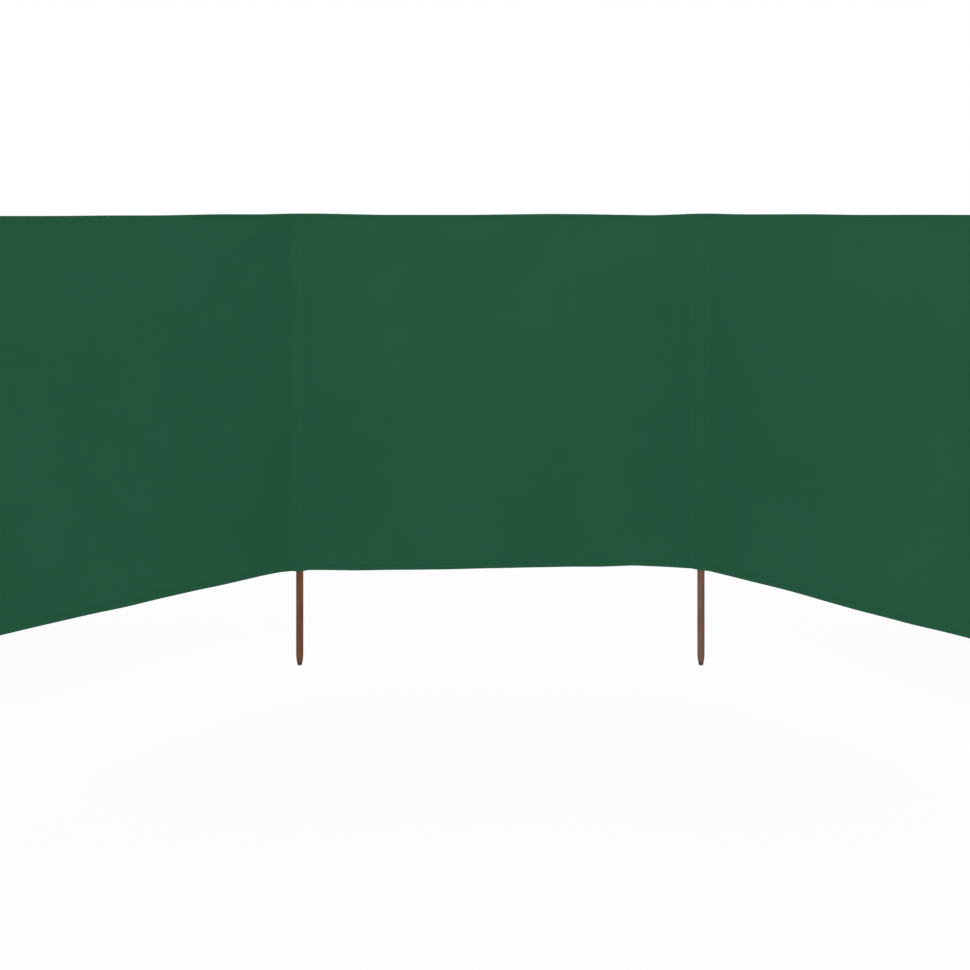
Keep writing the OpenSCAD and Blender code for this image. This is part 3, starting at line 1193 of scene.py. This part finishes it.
def post_section():
    """Heights and radii up a post, from the middle of its blunt end to the middle of its top."""
    swell = post_r - TIP_R
    point_r = (swell ** 2 + TIP_LEN ** 2) / (2 * swell)

    def point(z):
        return post_r - point_r + math.sqrt(point_r ** 2 - (TIP_LEN - z) ** 2)

    rim = point(TIP_ROUND)
    quarter = np.linspace(0, math.pi / 2, ROUND_ROWS)
    rows = [(0, (rim - TIP_ROUND) * share) for share in (0, FOOT_RING_SHARE)]
    rows += [(TIP_ROUND * (1 - math.cos(a)), rim - TIP_ROUND * (1 - math.sin(a))) for a in quarter]
    rows += [(z, point(z)) for z in np.linspace(TIP_ROUND, TIP_LEN, POINT_ROWS)[1:]]
    rows += [(z, post_r) for z in np.arange(TIP_LEN + SHANK_STEP, post_top - SHANK_STEP, SHANK_STEP)]
    rows += [(post_top - TOP_ROUND * (1 - math.sin(a)), post_r - TOP_ROUND * (1 - math.cos(a)))
             for a in quarter]
    return np.array(rows + [(post_top, post_r * TOP_RING_SHARE), (post_top, 0)])


lathe = post_section()
print("post:", len(lathe), "rows from end to end")

# %% Spun posts
POST_SIDES = 40
# How far a rod is out of round, and how that turns up its height and from rod to rod
OVAL, OVAL_TURNS, ROD_TURN = 0.006, 5, 1.9


def turned_post(k):
    """Post k, spun from the section round its own axis."""
    angle = np.linspace(0, 2 * math.pi, POST_SIDES, endpoint=False)
    z, r = lathe[1:-1, :1], lathe[1:-1, 1:]
    r = r * (1 + OVAL * np.sin(2 * angle + k) * np.sin(OVAL_TURNS * z + ROD_TURN * k))
    x, y = post_axes[k]
    rings = np.stack([x + r * np.cos(angle), y + r * np.sin(angle), z + 0 * angle], axis=-1)
    places = rings.reshape(-1, 3).tolist() + [[x, y, lathe[0, 0]], [x, y, lathe[-1, 0]]]
    foot, head = len(places) - 2, len(places) - 1
    starts = range(0, foot, POST_SIDES)
    faces = []
    for j in range(POST_SIDES):
        n = (j + 1) % POST_SIDES
        faces.append((foot, n, j))
        faces += [(a + j, a + n, b + n, b + j) for a, b in zip(starts, starts[1:])]
        faces.append((head, starts[-1] + j, starts[-1] + n))
    mesh = bpy.data.meshes.new(f"wooden_post_{k + 1}")
    mesh.from_pydata(places, [], faces)
    mesh.polygons.foreach_set("use_smooth", [True] * len(mesh.polygons))
    return linked(mesh.name, mesh)


posts = [turned_post(k) for k in range(POSTS)]
print("posts:", POSTS, "of", triangles(posts[0]), "triangles")

# %% [markdown]
# ## Stained wood
#
# Stained softwood shows its growth as long dark lines, because a rod is cut along the grain. Straight
# stripes would look printed. The contour lines of a soft pattern that is drawn out along the post wander,
# part and close as the real ones do. Fine fibres and broad blotches, where the stain has soaked in
# unevenly, lie over them.

# %% Grain
# Changes to the metre, twice across the post and once along it
GROWTH_STRETCH = (62, 62, 2.6)
FIBRE_STRETCH = (1100, 1100, 22)
BLOTCH_STRETCH = (40, 40, 9)
GRAIN_LINES = 44.0
LINE_SHARE = 0.16
BLOTCH_SHARE = 0.9
FIGURE_HEIGHT = 0.3 * MM

stained, grain, wood_shader = new_finish("stained_wood", roughness=0.7, specular=0.1)
wood_place = wired(grain, "ShaderNodeTexCoord").outputs["Object"]
growth = mottled(grain, wood_place, 1.5, stretch=GROWTH_STRETCH, Distortion=0.3)
growth_lines = reckoned(grain, "SINE", reckoned(grain, "MULTIPLY", growth, GRAIN_LINES))
fibres = mottled(grain, wood_place, 3.0, stretch=FIBRE_STRETCH)
blotches = mottled(grain, wood_place, 2.0, stretch=BLOTCH_STRETCH)
figure = reckoned(grain, "MULTIPLY_ADD", growth_lines, LINE_SHARE, fibres)
figure = reckoned(grain, "MULTIPLY_ADD", blotches, BLOTCH_SHARE, figure)
figure_bump = wired(grain, "ShaderNodeBump", {"Height": figure, "Strength": 0.4, "Distance": FIGURE_HEIGHT})
grain.links.new(figure_bump.outputs["Normal"], wood_shader.inputs["Normal"])
print("grain:", len(grain.nodes), "nodes")

# %% [markdown]
# One post in the photograph is browner and the other more faded, so every post has a share of paling of
# its own. One colour for all of them would be simpler and look new. The points are darker towards their
# ends, with a ragged upper limit that follows the fibres.

# %% Stain, paling and darker points
WOOD_DARK = (0.082, 0.033, 0.017, 1)
WOOD_FRESH = (0.222, 0.092, 0.045, 1)
WOOD_PALE = (0.226, 0.122, 0.086, 1)
WOOD_TIP = (0.070, 0.045, 0.042, 1)
# How far the stain of each post has paled
POST_PALING = (0.45, 0.65, 0.05, 0.95, 0.3, 0.55)
STAIN_LOW, STAIN_HIGH = 0.45, 1.45
DARK_POINT_LOW, DARK_POINT_HIGH = 14 * MM, 32 * MM
DARK_POINT_SHARE = 0.9
RAGGED = 16 * MM

paled = wired(grain, "ShaderNodeAttribute", attribute_name="paling").outputs["Fac"]
stain = blended(grain, paled, WOOD_FRESH, WOOD_PALE)
wood_tone = blended(grain, ranged(grain, figure, STAIN_LOW, STAIN_HIGH), WOOD_DARK, stain)
height = wired(grain, "ShaderNodeSeparateXYZ", {0: wood_place}).outputs["Z"]
ragged_height = reckoned(grain, "MULTIPLY_ADD", fibres, RAGGED, height)
# The points are darker towards their ends, up to a ragged limit
dark_point = ranged(grain, ragged_height, DARK_POINT_LOW, DARK_POINT_HIGH, DARK_POINT_SHARE, 0.0,
                interpolation_type="SMOOTHSTEP")
grain.links.new(blended(grain, dark_point, wood_tone, WOOD_TIP), wood_shader.inputs["Base Color"])

for piece, paling in zip(posts, POST_PALING):
    piece.data.materials.append(stained)
    layer = piece.data.attributes.new("paling", "FLOAT", "POINT")
    layer.data.foreach_set("value", [paling] * len(piece.data.vertices))
print("stained wood on", len(posts), "posts")

# %% [markdown]
# ## Floor
#
# The photograph has a plain white ground and no strong shadow. A floor that only glows would be as white,
# but the posts would float. So the camera sees a mix of a glowing white and a pale matt floor, which
# keeps a soft shadow near the screen. Further out the mix fades to the white that lies all round.

# %% Pale floor
FLOOR_HALF = 40
FLOOR_MIDDLE = ((cad_low.x + cad_high.x) / 2, -0.4, 0)
FLOOR_GREY = (0.92, 0.92, 0.92, 1)
WHITE = (1, 1, 1, 1)
FADE_NEAR = 1.5
FADE_FAR = 6.0
NEAR_WHITE = 0.9


def seen_share(tree):
    """1 on what the camera sees, also by way of gloss and glass, and 0 on what only gives light."""
    path = wired(tree, "ShaderNodeLightPath").outputs
    direct = reckoned(tree, "MAXIMUM", path["Is Camera Ray"], path["Is Glossy Ray"])
    return reckoned(tree, "MAXIMUM", direct, path["Is Transmission Ray"])


def floor_finish():
    """A pale matt floor that is almost white to the camera."""
    made = bpy.data.materials.new("pale_floor")
    made.use_nodes = True
    tree = made.node_tree
    tree.nodes.clear()
    matt = wired(tree, "ShaderNodeBsdfDiffuse", {"Color": FLOOR_GREY})
    glow = wired(tree, "ShaderNodeEmission", {"Color": WHITE, "Strength": 1.0})
    place = wired(tree, "ShaderNodeTexCoord").outputs["Object"]
    off = wired(tree, "ShaderNodeVectorMath", {0: place, 1: FLOOR_MIDDLE}, operation="SUBTRACT")
    away = wired(tree, "ShaderNodeVectorMath", {0: off.outputs[0]}, operation="LENGTH")
    fade = ranged(tree, away.outputs["Value"], FADE_NEAR, FADE_FAR, NEAR_WHITE, 1.0,
                  interpolation_type="SMOOTHSTEP")
    share = reckoned(tree, "MULTIPLY", seen_share(tree), fade)
    mixed = wired(tree, "ShaderNodeMixShader", {0: share, 1: matt.outputs[0], 2: glow.outputs[0]})
    wired(tree, "ShaderNodeOutputMaterial", {"Surface": mixed.outputs[0]})
    return made


floor_mesh = bpy.data.meshes.new("floor")
floor_corners = [(-1, -1), (1, -1), (1, 1), (-1, 1)]
floor_mesh.from_pydata([(x * FLOOR_HALF, y * FLOOR_HALF, 0) for x, y in floor_corners], [], [(0, 1, 2, 3)])
floor_mesh.materials.append(floor_finish())
floor = linked("floor", floor_mesh)
print("floor:", 2 * FLOOR_HALF, "m square")

# %% [markdown]
# ## Light
#
# The three bays in the photograph face three ways and look almost alike, so they had light from all
# round. One lamp would leave a bay dark. Two soft lamps stand before the screen on each side and one
# behind it on each side, with strengths that bring the bays to the tones of the photograph. An even
# surrounding fills the rest.

# %% Lamps
LAMP_SOFTNESS = math.radians(35)
# Name, azimuth and elevation in degrees, and strength. Azimuth 0 shines on the front, along +Y
LAMPS = (
    ("left_lamp", -33, 35, 0.62),
    ("right_lamp", 33, 35, 0.40),
    ("far_left_lamp", -75, 35, 0.30),
    ("far_right_lamp", 75, 35, 0.34),
    ("back_left_lamp", -150, 40, 0.45),
    ("back_right_lamp", 150, 40, 0.40),
)


def soft_lamp(name, azimuth, elevation, strength):
    """A broad distant lamp."""
    data = bpy.data.lights.new(name, "SUN")
    data.energy = strength
    data.angle = LAMP_SOFTNESS
    lamp = bpy.data.objects.new(name, data)
    lamp.rotation_euler = (math.radians(90 - elevation), 0, math.radians(azimuth))
    bpy.context.scene.collection.objects.link(lamp)
    return lamp


lamps = [soft_lamp(*row) for row in LAMPS]
print("lamps:", [lamp.name for lamp in lamps])

# %% Surroundings
SURROUND = 0.66

world = bpy.data.worlds.new("surroundings")
world.use_nodes = True
bpy.context.scene.world = world
sky = world.node_tree
sky.nodes.clear()
sky_level = ranged(sky, seen_share(sky), 0.0, 1.0, SURROUND, 1.0)
sky_light = wired(sky, "ShaderNodeBackground", {"Color": WHITE, "Strength": sky_level})
wired(sky, "ShaderNodeOutputWorld", {"Surface": sky_light.outputs[0]})
bpy.context.scene.view_settings.view_transform = "Standard"
print("surroundings: white to the eye, light of", SURROUND)

# %% [markdown]
# ## Who stands for what
#
# Every piece rides on the one body of the screen, and the solids of the imported model that the pieces
# stand for are hidden.

# %% Ride and replace
BODY = "root"

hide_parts("pocket_1", f"pocket_{POSTS}",
            *(f"{kind}_{b + 1}" for kind in ("panel", "top_hem", "lower_hem") for b in range(BAYS)))
for k, (piece, cut) in strips.items():
    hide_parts(f"pocket_{k + 1}")
for k, piece in enumerate(posts):
    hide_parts(f"post_{k + 1}")

for piece in [cloth, *stitches, *strip_pieces, *lid_pieces]:
    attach(piece, BODY)
for piece in posts:
    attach(piece, BODY)
pieces = [cloth, *stitches, *strip_pieces, *lid_pieces, *posts]
print("pieces:", len(pieces), "with", sum(triangles(piece) for piece in pieces), "triangles")

print("sheets:", 1 + len(strips) + len(lids))
